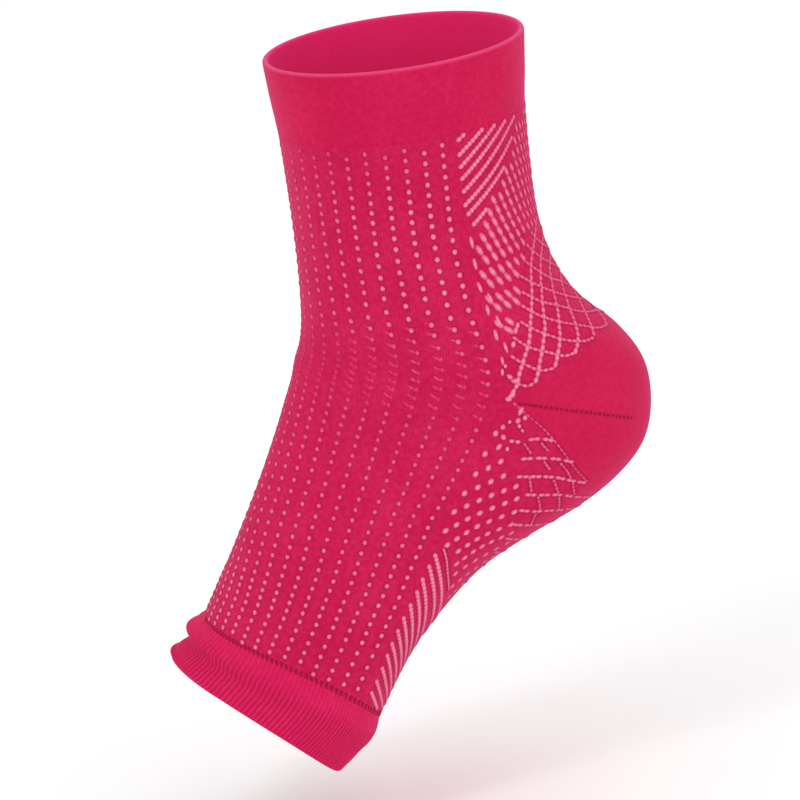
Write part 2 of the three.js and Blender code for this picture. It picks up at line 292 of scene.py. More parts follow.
def rounded(x, xs, ys):
    """Value of a table between its rows, with flat crests and hollows."""
    k = np.clip(np.searchsorted(xs, x) - 1, 0, len(xs) - 2)
    xs = np.asarray(xs, float)
    ys = np.asarray(ys, float)
    share = np.clip((x - xs[k]) / (xs[k + 1] - xs[k]), 0, 1)
    return ys[k] + (ys[k + 1] - ys[k]) * (1 - np.cos(math.pi * share)) / 2


def roll_height(place, angle):
    """Stand-off of the toe band's folded roll."""
    down = np.clip((place - TOE_SEAM) / (TOE_RIM - TOE_SEAM), 0, 1)
    facing = np.maximum(np.cos(angle), 0) ** 3
    off = rounded(down, TOE_PROFILE_DOWN, TOE_PROFILE_OFF)
    return TOE_ROLL * off * (SIDE_ROLL + (1 - SIDE_ROLL) * facing)


def skin(place, angle):
    """Point of the outer skin: place counts sections from the cuff's rim, angle runs from the front."""
    place, angle = np.broadcast_arrays(np.asarray(place, float), np.asarray(angle, float))
    front_x, front_z, back_x, back_z, half, shift, lag, _ = np.moveaxis(smooth(place), -1, 0)
    half_x = (back_x - front_x) / 2
    half_z = (back_z - front_z) / 2
    depth = np.hypot(half_x, half_z)
    side = np.sin(angle) ** 2
    roll = roll_height(place, angle)
    reach = -np.cos(angle) + shift * side - np.cos(angle) * roll / depth
    x = (front_x + back_x) / 2 + half_x * reach - half_z / depth * lag * side
    y = half * np.sin(angle) * (1 + roll / half)
    z = (front_z + back_z) / 2 + half_z * reach + half_x / depth * lag * side
    return np.stack([x, y, z], -1)


def unit(vectors):
    return vectors / np.linalg.norm(vectors, axis=-1, keepdims=True)


def normals(place, angle):
    step = 1e-4
    by_place = skin(place + step, angle) - skin(place - step, angle)
    by_angle = skin(place, angle + step) - skin(place, angle - step)
    return unit(np.cross(by_angle, by_place))


# Zones of the knit

def pocket_edge(tip, crest):
    """An edge of the heel pocket, from its tip on one side over its crest at the back to the other tip."""
    return lambda u: tip + (crest - tip) * (1 - np.abs(2 * u - 1) ** POCKET_ROUNDNESS)


pocket_top = pocket_edge(TIP_SECTION - TIP_HALF_HEIGHT, POCKET_TOP)
pocket_bottom = pocket_edge(TIP_SECTION + TIP_HALF_HEIGHT, POCKET_BOTTOM)


def constant(value):
    return lambda u: np.full_like(u, value)


def front_where(u, v):
    place = CUFF_SEAM + v * (TOE_SEAM - CUFF_SEAM)
    return place, (2 * u - 1) * edge_of(place)


def front_find(place, angle):
    return (angle / edge_of(place) + 1) / 2, (place - CUFF_SEAM) / (TOE_SEAM - CUFF_SEAM)


def back_where(top, bottom):
    def where(u, v):
        place = top(u) + v * (bottom(u) - top(u))
        edge = edge_of(place)
        return place, edge + u * 2 * (math.pi - edge)

    return where


def back_find(top, bottom):
    def find(place, angle):
        edge = edge_of(place)
        u = (angle % (2 * math.pi) - edge) / (2 * (math.pi - edge))
        return u, (place - top(u)) / (bottom(u) - top(u))

    return find


# How far outside a zone a pit's centre may lie, as a share of the zone
PIT_MARGIN = 0.03


class Zone:
    """A regular grid of points on the skin with a stand-off at each, later closed into a wall."""

    def __init__(self, where, find, rows, columns):
        v, u = np.meshgrid(np.linspace(0, 1, rows + 1), np.linspace(0, 1, columns + 1), indexing="ij")
        self.find, self.rows, self.columns = find, rows, columns
        self.place, self.angle = where(u, v)
        self.point = skin(self.place, self.angle)
        self.normal = normals(self.place, self.angle)
        self.relief = np.zeros(u.shape)
        self.hollow = np.zeros(u.shape)
        down = np.linalg.norm(np.diff(self.point, axis=0), axis=-1)
        across = np.linalg.norm(np.diff(self.point, axis=1), axis=-1)
        self.down = np.concatenate([np.zeros((1, columns + 1)), np.cumsum(down, axis=0)])
        self.across = np.concatenate([np.zeros((rows + 1, 1)), np.cumsum(across, axis=1)], axis=1)
        self.across -= self.across[:, columns // 2:columns // 2 + 1]

    def press(self, place, angle, radius, depth, strength=1.0, reach=4):
        """Sinks a soft round pit at each mark that lies in the zone, and records how far each point is sunk,
        for the painted shade in the pit.
        """
        strength = np.broadcast_to(strength, place.shape)
        u, v = self.find(place, angle)
        inside = (np.abs(u - 0.5) < 0.5 + PIT_MARGIN) & (np.abs(v - 0.5) < 0.5 + PIT_MARGIN)
        place, angle, u, v, strength = (x[inside] for x in (place, angle, u, v, strength))
        marks = skin(place, angle)
        rows, columns = np.mgrid[-reach:reach + 1, -reach:reach + 1].reshape(2, -1)
        i = np.clip(np.rint(v * self.rows).astype(int)[:, None] + rows, 0, self.rows)
        j = np.clip(np.rint(u * self.columns).astype(int)[:, None] + columns, 0, self.columns)
        apart = np.linalg.norm(self.point[i, j] - marks[:, None], axis=-1)
        pit = np.clip(1 - apart / radius, 0, 1)
        pit = pit * pit * (3 - 2 * pit) * strength[:, None]
        np.minimum.at(self.relief, (i, j), -depth * pit)
        # How far each point is sunk, which the material turns into painted shade
        np.maximum.at(self.hollow, (i, j), pit)


def quads(grid):
    """Faces of a grid of point numbers, turned outward."""
    return np.stack([grid[:-1, :-1], grid[:-1, 1:], grid[1:, 1:], grid[1:, :-1]], -1).reshape(-1, 4)


def wall_of(name, zone, wall, coarse=4):
    """The zone as a wall: its fine outer sheet, a coarser inner one, and borders between them.

    The borders have points of their own, so that the sheets stay smoothly shaded up to their edges.
    """
    outer = zone.point + zone.normal * zone.relief[..., None]
    some = np.s_[::coarse, ::coarse]
    inner = zone.point[some] - zone.normal[some] * wall
    index = np.arange(zone.hollow.size).reshape(zone.hollow.shape)
    index_in = index.size + np.arange(inner[..., 0].size).reshape(inner.shape[:2])
    faces = quads(index).tolist() + quads(index_in)[:, [0, 3, 2, 1]].tolist()
    smooth_count = len(faces)
    borders = [
        (index[0][::-1], index_in[0][::-1]),
        (index[-1], index_in[-1]),
        (index[:, 0], index_in[:, 0]),
        (index[:, -1][::-1], index_in[:, -1][::-1]),
    ]
    nothing = np.zeros_like(zone.hollow)
    values = {
        # Painted shade in the pits on the outer sheet, none on the inner one
        "hollow": (zone.hollow, nothing[some]),
        # Painted light on the inner sheet
        "inside": (nothing, nothing[some] + 1),
        "across": (zone.across, zone.across[some]),
        "down": (zone.down, zone.down[some]),
    }
    points = np.concatenate([outer.reshape(-1, 3), inner.reshape(-1, 3)])
    marks = {key: np.concatenate([a.ravel(), b.ravel()]) for key, (a, b) in values.items()}
    own = [np.arange(len(points))]
    count = len(points)
    for fine, rough in borders:
        own += [fine, rough]
        for k in range(len(rough) - 1):
            run = (count + np.arange(k * coarse, (k + 1) * coarse + 1)).tolist()
            far = count + len(fine) + k
            faces.append(run + [far + 1, far])
        count += len(fine) + len(rough)
    own = np.concatenate(own)
    return piece(name, points[own], faces, {key: value[own] for key, value in marks.items()}, smooth_count)


def placed(name, data):
    made = bpy.data.objects.new(name, data)
    bpy.context.scene.collection.objects.link(made)
    return made


def piece(name, points, faces, marks, smooth_count=None):
    """A mesh object with point values that its material reads; faces after smooth_count stay flat."""
    mesh = bpy.data.meshes.new(name)
    mesh.from_pydata(points.tolist(), [], faces)
    soft = np.ones(len(faces), bool)
    if smooth_count is not None:
        soft[smooth_count:] = False
    mesh.polygons.foreach_set("use_smooth", soft)
    for key, values in marks.items():
        attribute = mesh.attributes.new(key, "FLOAT", "POINT")
        attribute.data.foreach_set("value", np.asarray(values, np.float32))
    mesh.update()
    return placed(name, mesh)


def ring_of(name, path, columns, relief_at):
    """A closed ring of knit: path lists place and depth round its wall, relief_at gives its stand-offs."""
    place = path[:, 0][:, None] + np.zeros(columns)[None]
    depth = path[:, 1][:, None]
    angle = np.linspace(0, 2 * math.pi, columns, endpoint=False)[None] + np.zeros((len(path), 1))
    base = skin(place, angle)
    normal = normals(place, angle)
    relief, marks = relief_at(place, angle, depth)
    points = base + normal * (relief - depth)[..., None]
    rows = len(path)
    # Inner faces get painted light, more toward the inside of the wall
    marks["inside"] = np.clip(depth / depth.max(), 0, 1) + np.zeros(place.shape)
    around = np.linalg.norm(np.roll(base, -1, axis=1) - base, axis=-1)
    marks["across"] = np.cumsum(around, axis=1) - around
    down = np.linalg.norm(np.diff(base, axis=0), axis=-1)
    marks["down"] = np.concatenate([np.zeros((1, columns)), np.cumsum(down, axis=0)])
    index = np.arange(rows * columns).reshape(rows, columns)
    closing = rows * columns + np.arange(2 * columns).reshape(2, columns)
    faces = []
    for grid in (index, closing[::-1]):
        faces += quads(np.concatenate([grid, grid[:, :1]], axis=1)).tolist()
    own = np.concatenate([index.ravel(), index[0], index[-1]])
    marks = {key: value.ravel()[own] for key, value in marks.items()}
    return piece(name, points.reshape(-1, 3)[own], faces, marks, (rows - 1) * columns)


# Yarn

BEAD_SIDES = 8
BEAD_RINGS = 4
# Painted highlight on each bead: how pale its foot is against its crest, and how quickly it pales toward the
# crest
SHADED_FOOT_TONE = 0.2
CREST_HIGHLIGHT_POWER = 3


def bead_template():
    """A closed ellipsoid of half size 1 along x, y and z, with its poles on x."""
    points = [(1.0, 0.0, 0.0)]
    for k in range(1, BEAD_RINGS):
        turn = math.pi * k / BEAD_RINGS
        for j in range(BEAD_SIDES):
            spin = 2 * math.pi * j / BEAD_SIDES
            points.append((math.cos(turn), math.sin(turn) * math.cos(spin), math.sin(turn) * math.sin(spin)))
    points.append((-1.0, 0.0, 0.0))
    faces = []
    last = len(points) - 1
    for j in range(BEAD_SIDES):
        n = (j + 1) % BEAD_SIDES
        faces.append((0, 1 + j, 1 + n))
        for k in range(BEAD_RINGS - 2):
            a = 1 + k * BEAD_SIDES
            b = a + BEAD_SIDES
            faces.append((a + j, b + j, b + n, a + n))
        a = 1 + (BEAD_RINGS - 2) * BEAD_SIDES
        faces.append((a + j, last, a + n))
    return np.array(points), faces


def beads(name, place, angle, heading, size, pale_and_highlight):
    """One joined mesh of small beads on the skin, each along its heading and of its own size."""
    template, faces = bead_template()
    centre = skin(place, angle)
    normal = normals(place, angle)
    along = unit(heading - normal * np.sum(heading * normal, axis=-1, keepdims=True))
    beside = np.cross(normal, along)
    size = np.broadcast_to(size, (len(centre), 3)) / 2
    points = centre[:, None].copy()
    for k, axis in enumerate((along, beside, normal)):
        points = points + template[None, :, k, None] * size[:, None, k, None] * axis[:, None]
    count = len(template)
    joined = [[n * count + v for v in face] for n in range(len(centre)) for face in faces]
    # Painted highlight: each bead paler toward its crest and darker at its foot
    crest = SHADED_FOOT_TONE + (1 - SHADED_FOOT_TONE) * np.clip(template[:, 2], 0, 1) ** CREST_HIGHLIGHT_POWER
    pale_and_highlight = np.broadcast_to(pale_and_highlight, len(centre))[:, None] * crest
    return piece(name, points.reshape(-1, 3), joined, {"pale_and_highlight": pale_and_highlight.ravel()})


def heading_of(place, angle, down, around):
    """Direction on the skin of a step of so many places down and radians round."""
    step = 1e-3
    ahead = skin(place + down * step, angle + around * step)
    return ahead - skin(place - down * step, angle - around * step)


# Patterns of pale yarn, as places along the skin and degrees round it, all mirrored across y = 0

# Columns of dots on the front panel: the angle of the last column before the panel's edge, and the columns'
# pitch in degrees beside that edge and in front
DOT_TRACKS = np.array([
    # place, last column, edge pitch, front pitch
    (2, 106.6, 8.5, 9.6),
    (3, 106.3, 8.5, 9.6),
    (5, 105.1, 8.6, 9.6),
    (6, 102.2, 8.3, 9.2),
    (7, 96.8, 7.6, 8.7),
    (8, 93.6, 7.3, 8.3),
    (9, 91.6, 7.1, 8.1),
    (10, 89.2, 6.9, 7.9),
    (11, 88.7, 6.9, 7.7),
    (12, 89.0, 6.9, 7.6),
    (13, 91.9, 7.3, 7.5),
    (14, 97.7, 8.3, 7.7),
    (15, 101.7, 9.2, 7.4),
    (16, 105.5, 10.6, 6.9),
    (17, 104.6, 10.4, 6.9),
])
DOT_ROWS = np.array([
    # place, rows counted from the cuff
    (1.93, -1), (2.15, 0), (3.03, 4), (4.1, 9), (5.24, 14), (6.2, 17), (7.15, 19), (8.09, 21), (9.87, 25),
    (10.73, 27), (11.77, 30), (12.88, 34), (14.24, 39), (15.39, 44), (16.4, 49), (16.99, 52),
])
DOT_COLUMNS = 15
DOT_SAMPLES = 3000
# Rows by which each column lags behind its neighbour, under the cuff and toward the toes
DOT_STAGGER = 0.5
DOT_STAGGER_LOSS = 0.28
# Columns over which the pitch settles from the edge's to the front's
DOT_SETTLING = 3
# How much plainer the dots beside the edge are, and how much fainter those in front on the leg
DOT_EDGE_GAIN = 0.55
DOT_FRONT_LOSS = 0.55
# How plainly the dots show along the sock: they fade where the knit tightens over the instep's bend
DOT_TONE = np.array([
    # place, tone
    (2, 0.35), (2.6, 0.55), (3.4, 0.9), (5.5, 1.0), (6.1, 0.75), (6.6, 0.38), (7.5, 0.13), (9.2, 0.1),
    (9.8, 0.34), (10.6, 0.38), (11.5, 0.4), (12.2, 0.48), (13, 0.55), (14, 0.62), (15.4, 0.72), (17, 0.78),
])


def ease(x, low, high):
    share = np.clip((x - low) / (high - low), 0, 1)
    return share * share * (3 - 2 * share)


def dot_marks():
    """Place, angle and tone of each dot, both sides."""
    place = np.linspace(CUFF_SEAM + 0.1, TOE_SEAM - 0.05, DOT_SAMPLES)
    last, edge_pitch, front_pitch = (np.interp(place, DOT_TRACKS[:, 0], track) for track in DOT_TRACKS.T[1:])
    rows = np.interp(place, DOT_ROWS[:, 0], DOT_ROWS[:, 1])
    stagger = DOT_STAGGER - DOT_STAGGER_LOSS * ease(place, 6.5, 11)
    found = []
    for j in range(DOT_COLUMNS):
        settle = DOT_SETTLING * (1 - math.exp(-j / DOT_SETTLING))
        angle = last - front_pitch * j - (edge_pitch - front_pitch) * settle
        count = rows - j * stagger
        whole = np.arange(math.ceil(count[0]), math.floor(count[-1]) + 1)
        at = np.interp(whole, count, place)
        turn = np.interp(at, place, angle)
        near_middle = 0.35 * np.interp(at, place, front_pitch)
        tone = np.interp(at, DOT_TONE[:, 0], DOT_TONE[:, 1])
        bend = ease(at, 7.9, 8.6) * (1 - ease(at, 9.2, 10))
        tone = tone + (1 - tone) * DOT_EDGE_GAIN * ease(turn, 84, 97) * (1 - bend)
        tone = tone * (1 - DOT_FRONT_LOSS * (1 - ease(turn, 25, 90)) * (1 - ease(at, 9, 12)))
        for side in (-1, 1):
            kept = turn > near_middle if side > 0 else turn > -near_middle
            middle = np.where(turn < near_middle, 0, turn)
            found.append(np.stack([at, np.radians(side * middle), tone], -1)[kept])
    return np.concatenate(found).T


# About how many millimetres one place down and one degree round measure on the skin
PLACE_AND_DEGREE = (15, 0.66)


def curve_through(row, count=160):
    """Place and angle along a smooth curve through a row's points."""
    points = np.array(row).reshape(-1, 2)
    steps = np.linalg.norm(np.diff(points * PLACE_AND_DEGREE, axis=0), axis=1)
    at = np.concatenate([[0], np.cumsum(steps)])
    pull = np.gradient(points, at, axis=0)
    s = np.linspace(0, at[-1], count)
    k = np.clip(np.searchsorted(at, s) - 1, 0, len(steps) - 1)
    step = steps[k][:, None]
    f = ((s - at[k]) / steps[k])[:, None]
    first, last = points[k], points[k + 1]
    made = first + f * step * pull[k]
    made += f * f * (3 * (last - first) - step * (2 * pull[k] + pull[k + 1]))
    made += f ** 3 * (2 * (first - last) + step * (pull[k] + pull[k + 1]))
    return made.T


def interp_rows(at, length, rows):
    return np.stack([np.interp(at, length, column) for column in rows.T], -1)


def along_curve(place, angle, pitch):
    """Evenly spaced places and angles in degrees along a curve, and the curve's direction at each."""
    track = skin(place, np.radians(angle))
    length = np.concatenate([[0], np.cumsum(np.linalg.norm(np.diff(track, axis=0), axis=-1))])
    count = max(int(round(length[-1] / pitch)), 1)
    at = (np.arange(count) + 0.5) * length[-1] / count
    step = 0.2 * MM
    heading = interp_rows(at + step, length, track) - interp_rows(at - step, length, track)
    return np.interp(at, length, place), np.interp(at, length, angle), heading


# Beads nearer to the middle of the back than this angle, in degrees, aren't mirrored
MIRROR_LIMIT = 179.2
# How far a single dash runs past its two ends, as a share of its width
DASH_OVERRUN = 0.4


class Yarn:
    """Beads of yarn gathered for one joined mesh, each mirrored to the other side."""

    def __init__(self):
        self.items = []

    def add(self, place, angle, heading, length, width, height, tone):
        count = len(place)
        size = [np.broadcast_to(x, count) for x in (length, width, height)]
        columns = [place, np.radians(angle), *np.asarray(heading).T, *size, np.broadcast_to(tone, count)]
        item = np.stack(columns, -1)
        other = item.copy()
        other[:, 1] *= -1
        other[:, 3] *= -1
        self.items += [item, other[np.radians(MIRROR_LIMIT) > item[:, 1]]]

    def cord(self, kind, curve):
        """Beads in a row along a curve of places and angles."""
        pitch, length, width, height, tone, back_tone = CORDS[kind]
        at, turn, heading = along_curve(*curve, pitch * MM)
        tones = tone + (back_tone - tone) * ease(turn, *FADE)
        self.add(at, turn, heading, length * MM, width * MM, height * MM, tones)

    def dash(self, start, start_turn, end, end_turn, width, height, tone):
        """One bead from a start to an end."""
        turns = np.radians([start_turn, end_turn])
        ends = skin(np.array([start, end]), turns)
        heading = ends[1:] - ends[:1]
        middle = [(start + end) / 2], [(start_turn + end_turn) / 2]
        length = np.linalg.norm(heading) + width * DASH_OVERRUN
        self.add(*map(np.array, middle), heading, length, width, height, tone)

    def spots(self, place, angle, lean, length, width, height, tone):
        """Single beads that lean so many degrees from straight down toward the back."""
        lean = np.radians(np.broadcast_to(lean, place.shape))[:, None]
        turn = np.radians(angle)
        down = unit(heading_of(place, turn, 1, 0))
        around = unit(heading_of(place, turn, 0, 1))
        self.add(place, angle, down * np.cos(lean) + around * np.sin(lean), length, width, height, tone)

    def marks(self):
        rows = np.concatenate(self.items)
        return rows[:, 0], rows[:, 1]

    def made(self, name):
        rows = np.concatenate(self.items)
        return beads(name, rows[:, 0], rows[:, 1], rows[:, 2:5], rows[:, 5:8], rows[:, 8])


# Achilles panel: slanting cords under the cuff, then staggered stitches, then a net down to the heel pocket
STRIPES = [
    # place and angle where each stripe starts
    (2.135, 113.9), (2.44, 113.9), (2.68, 113.9), (2.92, 113.9), (3.18, 113.9), (3.455, 113.9),
    (3.645, 114.8), (3.865, 116.8),
]
STRIPE_SLOPE = 0.0305
STRIPE_LIMIT = np.array([
    # angle, lowest place of the stripes
    (113, 4.1), (116.5, 3.97), (121, 3.84), (125, 3.66), (127, 3.52), (130, 3.34), (137, 3), (144, 2.72),
    (148, 2.45), (152, 2.2), (156, 1.98), (180, 1.9),
])
NET_LIMIT = np.array([
    # angle, highest place of the net
    (112, 6.35), (114, 6.3), (118, 6), (123, 5.88), (127, 5.7), (129, 5.62), (133, 5.3), (138, 4.9),
    (143, 4.74), (147, 4.45), (155, 4.2), (180, 4.1),
])
# The staggered stitches: where the columns stand, in degrees, then how high their rows lie, in places
STITCH_FIRST = 115.7
STITCH_COLUMN_PITCH = 2.45
STITCH_SETTLING = 1.1
STITCH_LEVEL = 4.165
STITCH_RISE = 0.0155
STITCH_RISING_COLUMNS = 14
STITCH_STAGGER = 0.21
STITCH_PITCH = 0.42
STITCH_STRETCH = 0.03
STITCH_COLUMNS = 29
# Degrees by which a column turns toward the front on each place down, less toward the middle of the back
STITCH_TURN = 3
STITCH_TURN_RANGE = 50
# Angles between which the pale yarn fades round the back
FADE = (120, 165)
NET_RISING = [
    # place and angle, point by point
    (8.03, 103.2, 7.7, 105.2, 6.98, 112.5, 6.43, 121, 6, 128.2, 5.35, 139, 4.8, 147.5, 4.45, 156.8, 4.1, 168),
    (8.03, 109.2, 7.23, 116, 6.7, 123, 6.23, 132, 5.53, 143.2, 5.03, 152.2, 4.73, 160.5, 4.42, 180),
    (7.53, 119.2, 7.03, 125.5, 6.48, 135.2, 5.98, 145.8, 5.48, 154.2, 5.1, 162.2, 4.86, 180),
    (7.18, 131.2, 6.68, 141.5, 6.2, 151.8, 5.83, 158.8, 5.53, 165.8, 5.3, 180),
    (6.83, 148.8, 6.43, 158.8, 6.1, 169, 5.76, 180),
    (6.74, 166.5, 6.6, 173, 6.46, 180),
    (6.8, 108.8, 6.65, 111, 6.5, 113.2),
    (6.3, 116.2, 6.16, 118.8, 6.03, 121.5),
]
NET_FALLING = [
    (4.28, 154.8, 4.48, 160, 4.65, 167.5, 4.86, 180),
    (4.46, 147.6, 4.6, 151, 4.83, 158, 5.08, 169, 5.3, 180),
    (4.78, 143.2, 5, 149, 5.28, 157.8, 5.48, 168, 5.76, 180),
    (4.93, 134, 5.2, 141.2, 5.5, 151.2, 5.78, 163, 6.1, 180),
    (5.33, 132.5, 5.62, 139.5, 5.9, 150.8, 6.18, 160.5, 6.46, 180),
    (5.62, 128.5, 5.98, 134.8, 6.28, 143, 6.48, 149.8, 6.68, 157.5, 6.74, 167),
    (5.98, 122.8, 6.38, 127, 6.73, 133, 6.88, 140.8, 6.86, 148),
    (6.4, 113.8, 6.83, 116.2, 7.03, 121.2, 7.2, 126.5, 7.16, 131.5),
    (7.03, 106.2, 7.35, 109, 7.6, 113.8, 7.55, 119),
    (7.7, 100.8, 8.04, 103.3, 8.12, 106.3, 8.03, 109),
]
EDGE_STITCHES = [
    # start's place and angle, end's place and angle, width in mm
    (4.07, 114.6, 4.3, 114.8, 1.53),
    (4.49, 113.9, 4.71, 113.9, 1.445),
    (4.97, 112.6, 5.19, 112.7, 1.445),
    (5.48, 112.4, 5.73, 111, 1.53),
    (6.12, 109.5, 6.46, 106.8, 1.53),
    (6.55, 108.2, 6.93, 105.8, 1.36),
    (5.23, 115.2, 5.43, 115.8, 1.275),
    (5.75, 114.2, 6.08, 112.8, 1.36),
    (7.05, 102.7, 7.35, 101.3, 1.275),
    (7.33, 102.2, 7.46, 101.6, 1.275),
    (7.5, 100.2, 7.74, 99.2, 1.275),
]
APEX_CHAIN = [
    (7.73, 100.8, 7.86, 102.2, 8.04, 103.4),
    (8.04, 103.4, 8.28, 101.7, 8.6, 99.7),
]
APEX_BEADS = np.array([
    # place, angle, lean, length and width in mm
    (8.42, 101, 0, 2.64, 1.955),
    (8.6, 99.6, 90, 2.42, 1.955),
    (9, 103.5, -25, 3.3, 1.725),
    (9.22, 104.9, 0, 1.98, 1.725),
    (9.34, 102.6, -25, 2.09, 1.955),
    (9.52, 103.1, 25, 1.76, 1.38),
    (9.66, 104.2, 30, 1.65, 1.15),
    (9.41, 99.9, -10, 1.54, 1.265),
    (9.62, 97.8, -15, 2.09, 1.84),
    (9.88, 95.7, -10, 2.42, 2.07),
    (9.97, 98.4, 30, 2.2, 1.84),
    (10.07, 101.4, 85, 1.87, 1.61),
    (10.06, 103.4, 85, 1.98, 1.61),
    (10.35, 98, -15, 2.75, 1.84),
    (10.37, 100.9, 20, 1.87, 1.38),
])

# Sole panel: arcs of dashes under the heel pocket, slanting rows of ovals, then cords across the forefoot
SOLE_ARCS = [
    (9.95, 106.3, 9.86, 111, 9.88, 116),
    (10.66, 106.5, 10.53, 112.3, 10.47, 119, 10.52, 127.5),
    (11.26, 109, 11.13, 116.5, 11.07, 122.5, 11.1, 131, 11.14, 141),
    (11.76, 117, 11.68, 124, 11.6, 131, 11.61, 145, 11.62, 157),
    (12.22, 121, 12.18, 129, 12.09, 138, 12.02, 153, 12, 180),
    (12.62, 127, 12.58, 137, 12.5, 153, 12.46, 180),
    (13.02, 134, 13.02, 150, 12.95, 180),
    (13.46, 141, 13.48, 156, 13.44, 180),
    (13.9, 147, 13.95, 162, 13.93, 180),
    (14.34, 152, 14.42, 166, 14.42, 180),
]
POCKET_PIPING = (8.72, 101, 9.08, 105.2, 9.45, 110.2, 9.93, 116.5, 10.33, 122.2, 10.84, 132.5, 11.1, 141)
SOLE_LINKS = [
    (9.98, 111.2, 10.12, 113, 10.25, 115),
    (10.6, 115.2, 10.73, 117.2, 10.85, 119.5),
    (10.58, 121.5, 10.78, 125.8, 11.04, 131),
    (10.08, 105.5, 10.25, 107.5, 10.42, 109.5),
    (11.16, 113.5, 11.4, 116, 11.64, 119),
    (11.14, 123.5, 11.36, 127.5, 11.56, 131.5),
    (11.14, 133, 11.36, 137, 11.56, 141.5),
    (11.72, 123, 11.92, 127, 12.12, 131.5),
    (11.66, 133.5, 11.86, 138, 12.04, 142.5),
    (12.22, 131.5, 12.38, 134.5, 12.54, 138),
]
OVAL_ROWS = [
    # place and angle at the top, on the way and at the bottom, and how many ovals
    (10.69, 94.7, 10.69, 94.7, 10.69, 94.7, 1),
    (10.85, 100.9, 11.15, 98, 11.44, 95.1, 3),
    (11.31, 104.5, 11.7, 100, 12.08, 95.6, 4),
    (11.56, 111.4, 12.06, 104, 12.61, 97.4, 6),
    (11.92, 115.7, 12.49, 107.3, 13.13, 100.6, 7),
    (12.29, 120.5, 12.81, 112.3, 13.49, 107, 7),
    (12.63, 126.5, 13.04, 119.5, 13.59, 115.3, 6),
    (12.85, 133.5, 13.27, 126.5, 13.92, 121.7, 7),
    (13.15, 141, 13.63, 134.5, 14.15, 127.5, 6),
    (13.6, 147, 14, 141.5, 14.45, 134.5, 6),
    (14.05, 151, 14.35, 147, 14.7, 141.5, 5),
]
FORE_CORDS = [
    # place and angle where each cord starts, slope there in places a degree
    (13.78, 104.8, 0.043), (14.08, 106.3, 0.042), (14.4, 107.5, 0.042), (14.7, 109, 0.039),
    (15, 110, 0.036), (15.3, 111.2, 0.031), (15.58, 112.8, 0.027), (15.85, 114.1, 0.023),
    (16.08, 115.4, 0.021), (16.3, 116.3, 0.018), (16.52, 116.5, 0.017), (16.73, 116.3, 0.016),
]
# Degrees over which a cord's slope dies away
FORE_FLATTENING = 60
FORE_THREAD = (13.6, 106.6, 13.85, 113, 14.2, 122, 14.55, 134)

# Heel gore and toe seam, as rows of stitches whose dark beads paint the shade in their small holes
GORE_LINE = (8.74, 102.4, 8.89, 118, 9, 131, 9.21, 152)
TOE_SEAM_ROWS = [
    # kind of cord, places below the seam, first angle
    ("toe seam", 0.02, 4),
    ("toe seam echo", 0.1, 5.3),
]


def limit_at(angle, table):
    return np.interp(angle, table[:, 0], table[:, 1])


def stripes(yarn):
    turn = np.linspace(113.9, 180, 400)
    for start, first in STRIPES:
        angle = turn[turn >= first]
        place = start - STRIPE_SLOPE * (angle - first)
        kept = (place < limit_at(angle, STRIPE_LIMIT)) & (place > CUFF_SEAM - 0.01)
        yarn.cord("stripe", (place[kept], angle[kept]))


def staggered_stitches(yarn):
    row = np.arange(-6, 7)
    for column in range(1, STITCH_COLUMNS):
        base = STITCH_FIRST + STITCH_COLUMN_PITCH * column + STITCH_SETTLING * (1 - math.exp(-column))
        rise = STITCH_RISE * min(column, STITCH_RISING_COLUMNS)
        level = STITCH_LEVEL - rise - STITCH_STAGGER * (column % 2)
        place = level + STITCH_PITCH * row + STITCH_STRETCH * row * np.clip(row - 1, 0, None)
        angle = base - STITCH_TURN * (place - 4) * np.clip((180 - base) / STITCH_TURN_RANGE, 0, 1)
        below_stripes = place > limit_at(angle, STRIPE_LIMIT) + 0.1
        kept = below_stripes & (place < limit_at(angle, NET_LIMIT)) & (angle <= 180)
        faded = ease(angle[kept], *FADE)
        size = 1.12 - 0.25 * faded
        sizes = (STITCH_LENGTH * size, STITCH_WIDTH * size, STITCH_HEIGHT)
        yarn.spots(place[kept], angle[kept], STITCH_LEAN, *sizes, 0.9 - 0.4 * faded)


def achilles_yarn():
    yarn = Yarn()
    stripes(yarn)
    staggered_stitches(yarn)
    for *ends, width in EDGE_STITCHES:
        yarn.dash(*ends, width * MM, BEAD_HEIGHT, 1.0)
    return yarn


def net_yarn():
    yarn = Yarn()
    for row in NET_RISING:
        yarn.cord("net rising", curve_through(row))
    for row in NET_FALLING:
        yarn.cord("net falling", curve_through(row))
    for row in APEX_CHAIN:
        yarn.cord("apex chain", curve_through(row))
    place, angle, lean, length, width = APEX_BEADS.T
    yarn.spots(place, angle, lean, length * MM, width * MM, BEAD_HEIGHT, 1.0)
    return yarn


def arch_arc(yarn, row):
    """An arc of dashes, each a pair of beads side by side."""
    place, angle = curve_through(row)
    at, turn, heading = along_curve(place, angle, ARC_DASH_PITCH)
    tone = 0.85 - 0.35 * ease(turn, *FADE)
    one_degree = skin(at, np.radians(turn + 1)) - skin(at, np.radians(turn))
    for shift in (-ARC_HALF_GAP, ARC_HALF_GAP):
        moved = turn + shift / np.linalg.norm(one_degree, axis=-1)
        yarn.add(np.interp(moved, angle, place), moved, heading, *ARC_BEAD, tone)


def oval_row(yarn, row, count):
    place, angle = curve_through(row) if count > 1 else np.array(row).reshape(3, 2).T
    share = np.linspace(0, 1, count)
    steps = np.linspace(0, 1, len(place))
    at = np.interp(share, steps, place)
    turn = np.interp(share, steps, angle)
    tone = 1.0 - 0.35 * ease(turn, 112, 150)
    yarn.spots(at, turn, OVAL_LEAN, OVAL_LENGTH, OVAL_WIDTH, BEAD_HEIGHT, tone)


